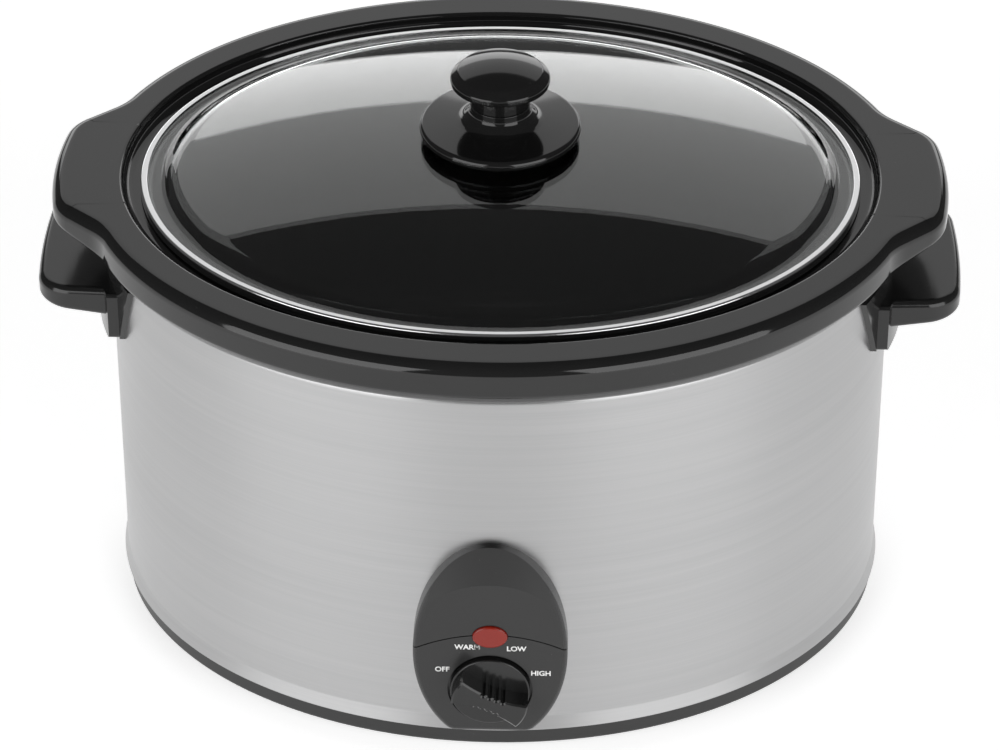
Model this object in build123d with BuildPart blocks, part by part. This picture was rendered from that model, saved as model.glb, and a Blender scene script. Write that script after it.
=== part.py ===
"""Oval countertop slow cooker: a brushed steel housing, a lift-out stoneware crock and a glass lid.

Millimetres, +Z up, +X to the right and the control panel facing -Y. The pieces are drawn about the
housing's own centre line, and write() then moves them all back by origin_shift, so that the origin
is on the surface that the feet stand on, under the middle of the whole object's box.
"""

import os
from math import cos, radians, sin, sqrt, tan

from build123d import *

# Housing outline. Every oval is this ellipse grown or shrunk by an offset on both half axes.
body_length = 337.0
body_depth = 283.0

# Clearances
fit_gap = 0.2  # round a part that drops into another
seat_gap = 0.3  # under a part that lifts out
shank_gap = 0.3  # round a screw shank or a shaft

# Feet and base tray
foot_height = 4.0
foot_radius = 9.0
foot_chamfer = 1.0
foot_plug_radius = 3.0
foot_plug_height = 4.0
foot_length_spacing = 210.0
foot_depth_spacing = 140.0
base_skirt_height = 8.5
base_floor = 2.5
base_wall = 2.4
base_rise = 7.0  # how far the tray's wall stands up inside the shell
base_edge_round = 1.5
vent_count = 7
vent_length = 30.0
vent_width = 4.0
vent_pitch = 12.0
vent_row_spacing = 110.0

# Outer shell
shell_height = 172.5
shell_wall = 0.8
shell_top_roll = 4.5
shell_lip = 3.0
flare_height = 6.5
flare_out = 1.6

# Heating liner and what is fixed to it
liner_wall = 0.8
liner_flange_inset = 6.0  # the flange's edge in from the shell's outline
liner_top_inset = 12.0  # the liner's bore in from the shell's outline, at the top
liner_floor_inset = 22.0
liner_corner = 14.0
liner_floor_level = 36.0  # above the underside of the base
heater_bottom_level = 58.0  # above the underside of the base
heater_height = 60.0
heater_thickness = 2.5
strap_width = 12.0
strap_thickness = 0.8
strap_lug_height = 9.0
strap_lug_gap = 6.0
strap_screw_radius = 1.5
strap_screw_head_radius = 3.0
strap_screw_head_height = 2.0

# Tie bolt, bridge and heat shield between the liner and the base
bolt_radius = 2.5
bolt_head_radius = 5.0
bolt_head_height = 2.6
nut_radius = 4.6
nut_height = 4.0
boss_radius = 8.0
bridge_half_length = 26.0
bridge_half_width = 9.0
bridge_drop = 9.0
bridge_sheet = 1.5
bridge_foot = 9.0
shield_sheet = 0.8
shield_inset = 40.0

# Crock
crock_wall_gap = 1.5  # between crock and liner
crock_wall = 6.0
crock_floor = 9.0
crock_floor_gap = 3.0
crock_foot_corner = 16.0
bowl_corner = 30.0
rim_height = 20.0
rim_overhang = 10.0
rim_foot_offset = 4.5  # the rim's lower edge out from the shell's outline
rim_underside_angle = 18.0
rim_shoulder = 5.5
rim_inner_inset = 6.2  # the lid recess in from the shell's outline, at the two ends
rim_extra_depth = 3.0  # how much wider the rim is along the front and back
rim_inner_round = 1.4
recess_depth = 7.0
bowl_lip_round = 2.0
ear_length = 13.5  # past the rim's end
ear_half_width = 34.0
ear_bulge = 3.5
ear_corner = 20.0
ear_root_y = 59.0
ear_root_depth = 4.4  # how far inside the rim's outline an ear's straight edge ends
ear_root_radius = 30.0

# Lid
lid_clearance = 7.8  # gap between the recess wall and the lid band
band_width = 3.0
band_sheet = 0.6
band_round = 0.9
glass_thickness = 3.6
glass_rise = 20.0
glass_flat = 4.5
glass_bend_width = 10.0
glass_bend_rise = 4.5
glass_hole_radius = 4.0

# Lid knob
knob_screw_radius = 2.4
knob_screw_head_radius = 5.0
knob_screw_head_height = 2.6
knob_screw_bite = 10.0
knob_washer_radius = 9.0
knob_washer_height = 1.6
gasket_radius = 15.0
gasket_height = 1.6
flange_radius = 34.5
flange_edge = 4.4
flange_cone_rise = 2.0
flange_round = 2.0
neck_radius = 12.8
neck_height = 7.5
neck_sweep = 4.0
stem_inset = 0.4
stem_height = 9.5
cap_radius = 21.2
cap_edge = 3.4
cap_bevel = 3.2
cap_bevel_rise = 3.2
cap_bevel_round = 1.6
cap_dome = 3.4

# Side handles
handle_top_gap = 2.5  # below the shell's rolled edge
plate_height = 33.0
plate_half_width = 45.0
plate_thickness = 6.5
plate_round = 2.0
wing_thickness = 2.2
wing_top_extra = 14.0  # how much the wing passes the plate at its top
grip_length = 30.5  # past the shell's outline
grip_root_half_width = 44.0
grip_tip_half_width = 40.0
grip_corner = 15.0
grip_bulge = 2.5
grip_drop = 10.5  # the grip's top below the top of the wing
grip_root_thickness = 13.0
grip_tip_thickness = 9.5
grip_top_round = 3.4
grip_under_round = 2.4
handle_screw_spacing = 66.0
handle_screw_radius = 2.0
handle_screw_head_radius = 4.2
handle_screw_head_height = 2.4
handle_screw_bite = 12.0

# Control panel
panel_clearance = 4.5  # the panel's foot above the shell's lower edge
panel_half_width = 32.6
panel_widest = 41.0  # above the panel's foot
panel_upper_height = 53.5  # from the widest level to the top
panel_lower_height = 48.0  # half axis of the lower oval, which the foot cuts off
panel_foot_corner = 6.0
panel_depth = 8.0
panel_edge_round = 2.6
panel_wall = 2.2
seam_arch_radius = 70.0
seam_arch_top = 52.4
seam_width = 0.5
facet_arch_radius = 40.0
facet_arch_top = 78.5
facet_depth = 5.0
facet_reach = 16.5
lens_half_width = 7.4
lens_half_height = 5.5
lens_above = 51.7
lens_proud = 1.2
lens_gap = 0.15
lens_rim = 1.2
lens_round = 0.9
lamp_radius = 3.4
lamp_length = 14.0
lamp_collar_radius = 4.8
lamp_collar_height = 1.6
panel_screw_radius = 1.4
panel_screw_head_radius = 2.8
panel_screw_head_height = 1.8
panel_screw_bite = 4.0
panel_boss_radius = 3.4
hood_screw_spacing = 34.0
hood_screw_above = 68.0
bezel_screw_spacing = 33.0
bezel_screw_above = 10.0

# Dial and switch
dial_above = 23.5
dial_rim_gap = 1.1  # between the skirt and the recess round it
dial_recess_depth = 2.6
dial_radius = 16.9
dial_skirt = 4.2
dial_grip_height = 9.0
dial_gap = 0.5
dial_grip_end = 6.9
dial_grip_waist = 3.9
dial_groove_radius = 0.9
dial_groove_count = 4
dial_groove_pitch = 3.0
dial_edge_round = 0.7
dial_off_angle = 66.0  # from straight up, towards the left, where the switch is off
shaft_radius = 3.0
shaft_bite = 7.0
turning_gap = 0.1  # round the shaft
switch_size = 24.0
switch_depth = 11.0
switch_bush_radius = 4.5
switch_bush_extra = 0.6
switch_nut_radius = 7.0
switch_nut_height = 1.8
switch_bore_depth = 6.0
tab_width = 4.0
tab_length = 6.0
tab_thickness = 0.8
tab_spacing = 20.0

# Mains gland, terminal block, thermal fuse and leads
gland_level = 30.0  # above the underside of the base
gland_radius = 7.0
gland_bore = 3.6
gland_flange_radius = 10.5
gland_flange = 3.0
gland_round = 1.0
gland_nut_radius = 10.5
gland_nut_height = 4.0
block_length = 30.0
block_width = 14.0
block_height = 12.0
block_inset = 49.5  # the block's middle in from the shell's back
lead_radius = 1.1
lead_bend = 5.0
lead_level = 7.0  # above the terminal block's foot
lead_rise_inset = 29.5  # how far in from the shell's front the switch leads turn up
fuse_radius = 2.2
fuse_length = 14.0
fuse_x = 62.0
fuse_y = 20.0
fuse_clip_sheet = 0.8
fuse_clip_width = 7.0
fuse_clip_foot = 6.0

# Levels above the standing surface
half_length = body_length / 2
half_depth = body_depth / 2
base_bottom = foot_height
shell_bottom = base_bottom + base_skirt_height
shell_top = shell_bottom + shell_height
liner_floor_top = base_bottom + liner_floor_level
liner_floor_under = liner_floor_top - liner_wall
flange_top = shell_top + liner_wall
heater_bottom = base_bottom + heater_bottom_level
heater_top = heater_bottom + heater_height
bridge_bottom = liner_floor_under - bridge_drop - bridge_sheet
shield_bottom = bridge_bottom - shield_sheet
rim_seat = flange_top + seat_gap
rim_top = rim_seat + rim_height
recess_floor = rim_top - recess_depth
crock_bottom = liner_floor_top + crock_floor_gap
bowl_bottom = crock_bottom + crock_floor
band_bottom = recess_floor + seat_gap
glass_edge_bottom = band_bottom + band_sheet
glass_edge_top = glass_edge_bottom + glass_thickness
band_top = glass_edge_top + band_sheet
glass_top = glass_edge_top + glass_rise
glass_under = glass_top - glass_thickness
gasket_top = glass_top + gasket_height
flange_edge_top = gasket_top + flange_edge
neck_foot = flange_edge_top + flange_cone_rise
neck_top = neck_foot + neck_height
cap_bottom = neck_top + stem_height
wing_top = shell_top - shell_top_roll - handle_top_gap
plate_bottom = wing_top - plate_height
grip_top = wing_top - grip_drop
handle_screw_z = grip_top - grip_root_thickness / 2
panel_foot = shell_bottom + panel_clearance
panel_widest_z = panel_foot + panel_widest
seam_arch_z = panel_foot + seam_arch_top
facet_arch_z = panel_foot + facet_arch_top
lens_z = panel_foot + lens_above
dial_z = panel_foot + dial_above
hood_screw_z = panel_foot + hood_screw_above
bezel_screw_z = panel_foot + bezel_screw_above
gland_z = base_bottom + gland_level
block_foot = base_bottom + base_floor

# Offsets inwards from the shell's outline
crock_top_inset = liner_top_inset + crock_wall_gap
crock_foot_inset = liner_floor_inset + crock_wall_gap
band_inset = rim_inner_inset + lid_clearance
glass_inset = band_inset + band_sheet + fit_gap

# Outlines seen from above
rim_half_length = half_length + rim_overhang
rim_half_depth = half_depth + rim_overhang
ear_reach = rim_half_length + ear_length
ear_root_x = rim_half_length * sqrt(1 - (ear_root_y / rim_half_depth) ** 2) - ear_root_depth
grip_reach = half_length + grip_length
dial_recess_radius = dial_radius + dial_rim_gap

# Distances behind the middle, then in front of it
block_back = half_depth - block_inset
lead_rise_y = half_depth - lead_rise_inset
panel_face = half_depth + panel_depth
dial_floor = panel_face - dial_recess_depth
dial_back = dial_floor + dial_gap
dial_face = dial_back + dial_skirt
bar_face = dial_face + dial_grip_height

# The dial's bar is the frontmost point and the crock's rim the rearmost
origin_shift = (bar_face - half_depth - rim_overhang) / 2


def oval(offset, height, squeeze=0.0):
    """A flat oval face parallel to the shell's outline, narrower front to back by a squeeze."""
    with BuildSketch(Plane.XY.offset(height)) as face:
        Ellipse(half_length + offset, half_depth + offset - squeeze)
    return face.sketch


def oval_prism(offset, bottom, top, squeeze=0.0):
    """An upright oval block."""
    with BuildPart() as block:
        extrude(oval(offset, bottom, squeeze), amount=top - bottom)
    return block.part


def oval_taper(offset_low, low, offset_high, high, squeeze=0.0):
    """A tapered oval block, straight sided between its two outlines."""
    with BuildPart() as block:
        loft([oval(offset_low, low, squeeze), oval(offset_high, high, squeeze)], ruled=True)
    return block.part


def disc(radius, bottom, top, x=0.0, y=0.0):
    """An upright round block."""
    with BuildPart() as block:
        with BuildSketch(Plane.XY.offset(bottom)):
            with Locations((x, y)):
                Circle(radius)
        extrude(amount=top - bottom)
    return block.part


def front_disc(radius, near, far, x, z):
    """A round block lying front to back, between two distances in front of the middle."""
    with BuildPart() as block:
        with BuildSketch(Plane.XZ.offset(near)):
            with Locations((x, z)):
                Circle(radius)
        extrude(amount=far - near)
    return block.part


def side_disc(radius, near, far, y, z):
    """A round block lying left to right, between two distances to the right of the middle."""
    with BuildPart() as block:
        with BuildSketch(Plane.YZ.offset(near)):
            with Locations((y, z)):
                Circle(radius)
        extrude(amount=far - near)
    return block.part


def liner_outside(height):
    """The liner's outer offset at a height."""
    share = (height - liner_floor_under) / (shell_top - liner_floor_under)
    foot = liner_wall - liner_floor_inset
    top = liner_wall - liner_top_inset
    return foot + (top - foot) * share


def liner_band(bottom, top, inner, outer):
    """A band round the liner, between two distances off its outside."""
    with BuildPart() as band:
        add(oval_taper(liner_outside(bottom) + outer, bottom, liner_outside(top) + outer, top))
        add(
            oval_taper(liner_outside(bottom) + inner, bottom, liner_outside(top) + inner, top),
            mode=Mode.SUBTRACT,
        )
    return band.part


def edges_at(block, height, tolerance=0.01):
    """The edges of a block that lie flat at a height."""
    return block.edges().filter_by_position(Axis.Z, height - tolerance, height + tolerance)


def outer_edge(block, height):
    """The longest flat edge at a height, which on an oval is its outline."""
    return edges_at(block, height).sort_by(SortBy.LENGTH)[-1]


def shell_reach_x(y, offset=0.0):
    """How far to the right an oval reaches at a distance y from the middle."""
    return (half_length + offset) * sqrt(1 - (y / (half_depth + offset)) ** 2)


def shell_reach_y(x, offset=0.0):
    """How far forward an oval reaches at a distance x from the middle."""
    return (half_depth + offset) * sqrt(1 - (x / (half_length + offset)) ** 2)


def write(part, name):
    """Moves a finished piece into the object's frame, labels it and writes its STEP file."""
    placed = part.moved(Location((0, origin_shift, 0)))
    placed.label = name
    export_step(placed, f"parts/{name}.step")


os.makedirs("parts", exist_ok=True)

# Hole centres that several pieces share
hood_screws = [(side * hood_screw_spacing / 2, hood_screw_z) for side in (-1, 1)]
bezel_screws = [(side * bezel_screw_spacing / 2, bezel_screw_z) for side in (-1, 1)]
handle_screws = [(side * handle_screw_spacing / 2, handle_screw_z) for side in (-1, 1)]

# ---------------------------------------------------------------- housing

with BuildPart() as shell_outside:
    add(oval_prism(0, shell_bottom, shell_top))
    fillet(outer_edge(shell_outside, shell_top), shell_top_roll)
    add(oval_taper(flare_out, shell_bottom, 0, shell_bottom + flare_height))

with BuildPart() as shell_inside:
    add(oval_prism(-shell_wall, shell_bottom, shell_top - shell_wall))
    fillet(outer_edge(shell_inside, shell_top - shell_wall), shell_top_roll - shell_wall)
    add(oval_taper(flare_out - shell_wall, shell_bottom, -shell_wall, shell_bottom + flare_height))

liner_reach = half_length - liner_top_inset
with BuildPart() as outer_shell:
    add(shell_outside.part)
    add(shell_inside.part, mode=Mode.SUBTRACT)
    mouth_inset = shell_top_roll + shell_lip
    add(oval_prism(-mouth_inset, shell_top - 2 * shell_wall, shell_top + shell_wall), mode=Mode.SUBTRACT)
    # Shaft, lamp and panel screw holes through the front
    with BuildSketch(Plane.XZ) as front_holes:
        with Locations((0, dial_z)):
            Circle(switch_bush_radius)
        with Locations((0, lens_z)):
            Circle(lamp_radius)
        with Locations(*hood_screws, *bezel_screws):
            Circle(panel_screw_radius + shank_gap)
    extrude(amount=body_depth, mode=Mode.SUBTRACT)
    # Handle screw holes through both ends
    for y, z in handle_screws:
        hole_radius = handle_screw_radius + shank_gap
        add(side_disc(hole_radius, liner_reach, body_length, y, z), mode=Mode.SUBTRACT)
        add(side_disc(hole_radius, -body_length, -liner_reach, y, z), mode=Mode.SUBTRACT)
    # Mains gland hole at the back
    with BuildSketch(Plane.XZ) as gland_hole:
        with Locations((0, gland_z)):
            Circle(gland_radius)
    extrude(amount=-body_depth, mode=Mode.SUBTRACT)
write(outer_shell.part, "outer_shell")

with BuildPart() as base_tray:
    add(oval_prism(0, base_bottom, shell_bottom))
    fillet(outer_edge(base_tray, base_bottom), base_edge_round)
    tray_inset = shell_wall + fit_gap
    add(oval_prism(-tray_inset, shell_bottom, shell_bottom + base_rise))
    add(
        oval_prism(-tray_inset - base_wall, base_bottom + base_floor, shell_bottom + base_rise),
        mode=Mode.SUBTRACT,
    )
    # Boss that the tie bolt pulls against the heat shield
    add(disc(boss_radius, base_bottom, shield_bottom))
    # Bolt seat and hole, sockets for the feet and cooling slots
    add(disc(bolt_head_radius + shank_gap, base_bottom, base_bottom + bolt_head_height), mode=Mode.SUBTRACT)
    add(disc(bolt_radius + shank_gap, base_bottom, shield_bottom), mode=Mode.SUBTRACT)
    with BuildSketch(Plane.XY.offset(base_bottom)) as tray_holes:
        with GridLocations(foot_length_spacing, foot_depth_spacing, 2, 2):
            Circle(foot_plug_radius)
        with GridLocations(vent_pitch, vent_row_spacing, vent_count, 2):
            SlotOverall(vent_length, vent_width, rotation=90)
    extrude(amount=base_floor, mode=Mode.SUBTRACT)
write(base_tray.part, "base_tray")

with BuildPart() as rubber_feet:
    with BuildSketch():
        with GridLocations(foot_length_spacing, foot_depth_spacing, 2, 2):
            Circle(foot_radius)
    extrude(amount=foot_height)
    chamfer(edges_at(rubber_feet, 0), foot_chamfer)
    with BuildSketch(Plane.XY.offset(foot_height)):
        with GridLocations(foot_length_spacing, foot_depth_spacing, 2, 2):
            Circle(foot_plug_radius)
    extrude(amount=foot_plug_height)
write(rubber_feet.part, "rubber_feet")

# ---------------------------------------------------------------- heating liner

with BuildPart() as liner_bore:
    add(oval_taper(-liner_floor_inset, liner_floor_top, -liner_top_inset, flange_top))
    fillet(outer_edge(liner_bore, liner_floor_top), liner_corner - liner_wall)

with BuildPart() as heating_liner:
    outside_low = liner_outside(liner_floor_under)
    outside_high = liner_outside(shell_top)
    add(oval_taper(outside_low, liner_floor_under, outside_high, shell_top))
    fillet(outer_edge(heating_liner, liner_floor_under), liner_corner)
    add(oval_prism(-liner_flange_inset, shell_top, flange_top))
    add(liner_bore.part, mode=Mode.SUBTRACT)
write(heating_liner.part, "heating_liner")

write(liner_band(heater_bottom, heater_top, 0, heater_thickness), "heating_band")

# Clamp strap, drawn tight at the back by a screw through two lugs
strap_low = (heater_bottom + heater_top - strap_width) / 2
strap_high = strap_low + strap_width
strap_mid = (strap_low + strap_high) / 2
strap_back = half_depth + liner_outside(strap_mid) + heater_thickness
with BuildPart() as heater_strap:
    add(liner_band(strap_low, strap_high, heater_thickness, heater_thickness + strap_thickness))
    lug_y = strap_back + strap_lug_height / 2
    for side in (-1, 1):
        with BuildSketch(Plane.XY.offset(strap_low)):
            with Locations((side * (strap_lug_gap + strap_thickness) / 2, lug_y)):
                Rectangle(strap_thickness, strap_lug_height)
        extrude(amount=strap_width)
    with BuildSketch(Plane.XY.offset(strap_low)):
        with Locations((0, strap_back)):
            Rectangle(strap_lug_gap, strap_lug_height)
    extrude(amount=strap_width, mode=Mode.SUBTRACT)
    add(liner_band(strap_low, strap_high, -heater_thickness, heater_thickness), mode=Mode.SUBTRACT)
    lug_hole_y = strap_back + strap_lug_height * 2 / 3
    add(
        side_disc(strap_screw_radius + shank_gap, -strap_lug_gap, strap_lug_gap, lug_hole_y, strap_mid),
        mode=Mode.SUBTRACT,
    )
write(heater_strap.part, "heater_strap")

lug_outside = strap_lug_gap / 2 + strap_thickness
with BuildPart() as strap_screw:
    screw_end = lug_outside + strap_screw_head_height
    add(side_disc(strap_screw_radius, -screw_end, screw_end, lug_hole_y, strap_mid))
    add(side_disc(strap_screw_head_radius, lug_outside, screw_end, lug_hole_y, strap_mid))
    add(side_disc(strap_screw_head_radius, -screw_end, -lug_outside, lug_hole_y, strap_mid))
write(strap_screw.part, "strap_screw")

# Hat-shaped bridge welded under the liner, which the tie bolt pulls down
with BuildPart() as tie_bridge:
    with BuildSketch(Plane.XZ) as hat:
        with Locations((0, (bridge_bottom + liner_floor_under) / 2)):
            Rectangle(2 * bridge_half_length, liner_floor_under - bridge_bottom)
        with Locations((0, liner_floor_under - bridge_sheet / 2)):
            Rectangle(2 * (bridge_half_length + bridge_foot), bridge_sheet)
        with Locations((0, (bridge_bottom + bridge_sheet + liner_floor_under) / 2)):
            inner_width = 2 * (bridge_half_length - bridge_sheet)
            Rectangle(inner_width, liner_floor_under - bridge_bottom - bridge_sheet, mode=Mode.SUBTRACT)
    extrude(amount=bridge_half_width, both=True)
    add(disc(bolt_radius + shank_gap, bridge_bottom, liner_floor_under), mode=Mode.SUBTRACT)
write(tie_bridge.part, "tie_bridge")

with BuildPart() as heat_shield:
    add(oval_prism(-shield_inset, shield_bottom, bridge_bottom))
    add(disc(bolt_radius + shank_gap, shield_bottom, bridge_bottom), mode=Mode.SUBTRACT)
write(heat_shield.part, "heat_shield")

nut_foot = bridge_bottom + bridge_sheet
with BuildPart() as tie_bolt:
    add(disc(bolt_head_radius, base_bottom, base_bottom + bolt_head_height))
    add(disc(bolt_radius, base_bottom, nut_foot + nut_height))
write(tie_bolt.part, "tie_bolt")

with BuildPart() as tie_nut:
    with BuildSketch(Plane.XY.offset(nut_foot)):
        RegularPolygon(nut_radius, 6)
        Circle(bolt_radius, mode=Mode.SUBTRACT)
    extrude(amount=nut_height)
write(tie_nut.part, "tie_nut")

# ---------------------------------------------------------------- crock

with BuildSketch(Plane.XY.offset(rim_seat)) as rim_outline:
    Ellipse(rim_half_length, rim_half_depth)
    for side in (-1, 1):
        tip_x = side * (ear_reach - ear_bulge)
        root_x = side * ear_root_x
        with BuildLine():
            Polyline(
                (tip_x, -ear_half_width),
                (root_x, -ear_root_y),
                (root_x, ear_root_y),
                (tip_x, ear_half_width),
            )
            ThreePointArc((tip_x, ear_half_width), (side * ear_reach, 0), (tip_x, -ear_half_width))
        make_face()
    corners = rim_outline.vertices().group_by(Axis.X)
    fillet(corners[1] + corners[-2], ear_root_radius)
    corners = rim_outline.vertices().group_by(Axis.X)
    fillet(corners[0] + corners[-1], ear_corner)

# The underside is one cone, level with the seat and rising to the tips of the ears
cone_run = ear_reach
cone_rise = cone_run * tan(radians(rim_underside_angle))
with BuildPart() as crock_rim:
    extrude(rim_outline.sketch, amount=rim_height)
    fillet(edges_at(crock_rim, rim_top), rim_shoulder)
    under = oval_taper(rim_foot_offset, rim_seat, cone_run + rim_foot_offset, rim_seat + cone_rise)
    add(under, mode=Mode.INTERSECT)

with BuildPart() as crock_bowl:
    bowl_inset = crock_top_inset + crock_wall
    bowl_foot_inset = crock_foot_inset + crock_wall
    add(oval_taper(-bowl_foot_inset, bowl_bottom, -bowl_inset, recess_floor, rim_extra_depth))
    fillet(outer_edge(crock_bowl, bowl_bottom), bowl_corner)

with BuildPart() as crock:
    add(oval_taper(-crock_foot_inset, crock_bottom, -crock_top_inset, rim_seat))
    fillet(outer_edge(crock, crock_bottom), crock_foot_corner)
    add(oval_prism(-crock_top_inset, rim_seat, recess_floor))
    add(crock_rim.part)
    add(crock_bowl.part, mode=Mode.SUBTRACT)
    fillet(outer_edge(crock, recess_floor), bowl_lip_round)
    add(oval_prism(-rim_inner_inset, recess_floor, rim_top, rim_extra_depth), mode=Mode.SUBTRACT)
    fillet(outer_edge(crock, rim_top), rim_inner_round)
write(crock.part, "crock")

# ---------------------------------------------------------------- lid

# Half of the glass seen from the end: flat edge, a short bend up, then the dome
glass_half_length = half_length - glass_inset
glass_half_depth = half_depth - glass_inset - rim_extra_depth
bend_out = glass_half_depth - glass_flat
bend_in = bend_out - glass_bend_width
bend_top = glass_edge_top + glass_bend_rise
dome_rise = glass_top - bend_top
dome_radius = (bend_in**2 + dome_rise**2) / (2 * dome_rise)
dome_slope = bend_in / dome_radius
bend_pull = glass_bend_width / 2
with BuildPart() as glass_round:
    with BuildSketch(Plane.XZ):
        with BuildLine():
            Line((0, glass_under), (0, glass_top))
            RadiusArc((0, glass_top), (bend_in, bend_top), dome_radius)
            Bezier(
                (bend_in, bend_top),
                (bend_in + bend_pull, bend_top - bend_pull * dome_slope),
                (bend_out - bend_pull, glass_edge_top),
                (bend_out, glass_edge_top),
            )
            Polyline(
                (bend_out, glass_edge_top),
                (glass_half_depth, glass_edge_top),
                (glass_half_depth, glass_edge_bottom),
                (bend_out, glass_edge_bottom),
            )
            Bezier(
                (bend_out, glass_edge_bottom),
                (bend_out - bend_pull, glass_edge_bottom),
                (bend_in + bend_pull, bend_top - glass_thickness - bend_pull * dome_slope),
                (bend_in, bend_top - glass_thickness),
            )
            RadiusArc((bend_in, bend_top - glass_thickness), (0, glass_under), -dome_radius)
        make_face()
    revolve(axis=Axis.Z)
glass_oval = scale(glass_round.part, by=(glass_half_length / glass_half_depth, 1, 1))

with BuildPart() as lid_glass:
    add(glass_oval)
    add(disc(glass_hole_radius, glass_edge_bottom, gasket_top), mode=Mode.SUBTRACT)
write(lid_glass.part, "lid_glass")

with BuildPart() as lid_band:
    add(oval_prism(-band_inset, band_bottom, band_top, rim_extra_depth))
    fillet(outer_edge(lid_band, band_bottom), band_round)
    fillet(outer_edge(lid_band, band_top), band_round)
    mouth = oval_prism(-band_inset - band_width, band_bottom, band_top, rim_extra_depth)
    add(mouth, mode=Mode.SUBTRACT)
    groove = oval_prism(-band_inset - band_sheet, glass_edge_bottom, glass_edge_top, rim_extra_depth)
    add(groove, mode=Mode.SUBTRACT)
write(lid_band.part, "lid_band")

with BuildPart() as knob_gasket:
    add(disc(gasket_radius, glass_under, gasket_top))
    add(disc(knob_screw_radius + shank_gap, glass_under, gasket_top), mode=Mode.SUBTRACT)
    add(glass_oval, mode=Mode.SUBTRACT)
write(knob_gasket.part, "knob_gasket")

washer_bottom = glass_under - knob_washer_height
with BuildPart() as knob_washer:
    add(disc(knob_washer_radius, washer_bottom, glass_under))
    add(disc(knob_screw_radius + shank_gap, washer_bottom, glass_under), mode=Mode.SUBTRACT)
    add(glass_oval, mode=Mode.SUBTRACT)
write(knob_washer.part, "knob_washer")

with BuildPart() as knob_screw:
    add(disc(knob_screw_head_radius, washer_bottom - knob_screw_head_height, washer_bottom))
    add(disc(knob_screw_radius, washer_bottom, neck_top + knob_screw_bite))
write(knob_screw.part, "knob_screw")

# Heat guard: a flat disc with a rounded edge that sweeps up into the neck
flange_inner = flange_radius - flange_round
round_low = gasket_top + flange_round
round_high = flange_edge_top - flange_round
with BuildPart() as knob_flange:
    with BuildSketch(Plane.XZ):
        with BuildLine():
            Polyline(
                (neck_radius, neck_top),
                (knob_screw_radius + shank_gap, neck_top),
                (knob_screw_radius + shank_gap, gasket_top),
                (flange_inner, gasket_top),
            )
            RadiusArc((flange_inner, gasket_top), (flange_radius, round_low), -flange_round)
            Line((flange_radius, round_low), (flange_radius, round_high))
            RadiusArc((flange_radius, round_high), (flange_inner, flange_edge_top), -flange_round)
            Line((flange_inner, flange_edge_top), (neck_radius + neck_sweep, neck_foot))
            ThreePointArc(
                (neck_radius + neck_sweep, neck_foot),
                (neck_radius + neck_sweep * 0.3, neck_foot + neck_sweep * 0.3),
                (neck_radius, neck_foot + neck_sweep),
            )
            Line((neck_radius, neck_foot + neck_sweep), (neck_radius, neck_top))
        make_face()
    revolve(axis=Axis.Z)
write(knob_flange.part, "knob_flange")

# Mushroom cap on its stem, threaded inside for the screw
with BuildPart() as knob_cap:
    stem_radius = neck_radius - stem_inset
    cap_edge_top = cap_bottom + cap_edge
    edge_round = cap_edge / 2
    edge_middle = cap_bottom + edge_round
    cap_inner = cap_radius - edge_round
    bevel_top = cap_edge_top + cap_bevel_rise
    bevel_radius = cap_radius - cap_bevel
    cap_dome_radius = (bevel_radius**2 + cap_dome**2) / (2 * cap_dome)
    with BuildSketch(Plane.XZ):
        with BuildLine():
            Polyline(
                (0, bevel_top + cap_dome),
                (0, neck_top),
                (stem_radius, neck_top),
                (stem_radius, cap_bottom),
                (cap_inner, cap_bottom),
            )
            RadiusArc((cap_inner, cap_bottom), (cap_radius, edge_middle), -edge_round)
            Polyline(
                (cap_radius, edge_middle),
                (cap_radius, cap_edge_top),
                (bevel_radius, bevel_top),
            )
            RadiusArc((bevel_radius, bevel_top), (0, bevel_top + cap_dome), -cap_dome_radius)
        make_face()
    revolve(axis=Axis.Z)
    fillet(edges_at(knob_cap, bevel_top), cap_bevel_round)
    add(disc(knob_screw_radius, neck_top, neck_top + knob_screw_bite), mode=Mode.SUBTRACT)
write(knob_cap.part, "knob_cap")

# ---------------------------------------------------------------- side handles

with BuildPart() as handle_wings:
    with BuildSketch(Plane.YZ):
        wing_half = plate_half_width + wing_top_extra
        Polygon(
            (-plate_half_width, plate_bottom),
            (plate_half_width, plate_bottom),
            (wing_half, wing_top),
            (-wing_half, wing_top),
            align=None,
        )
    extrude(amount=grip_reach)
    add(oval_prism(wing_thickness, plate_bottom, wing_top), mode=Mode.INTERSECT)

with BuildPart() as handle_plate:
    with BuildSketch(Plane.YZ):
        with Locations((0, (plate_bottom + grip_top) / 2)):
            RectangleRounded(2 * plate_half_width, grip_top - plate_bottom, plate_round)
    extrude(amount=grip_reach)
    add(oval_prism(plate_thickness, plate_bottom, wing_top), mode=Mode.INTERSECT)

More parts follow.
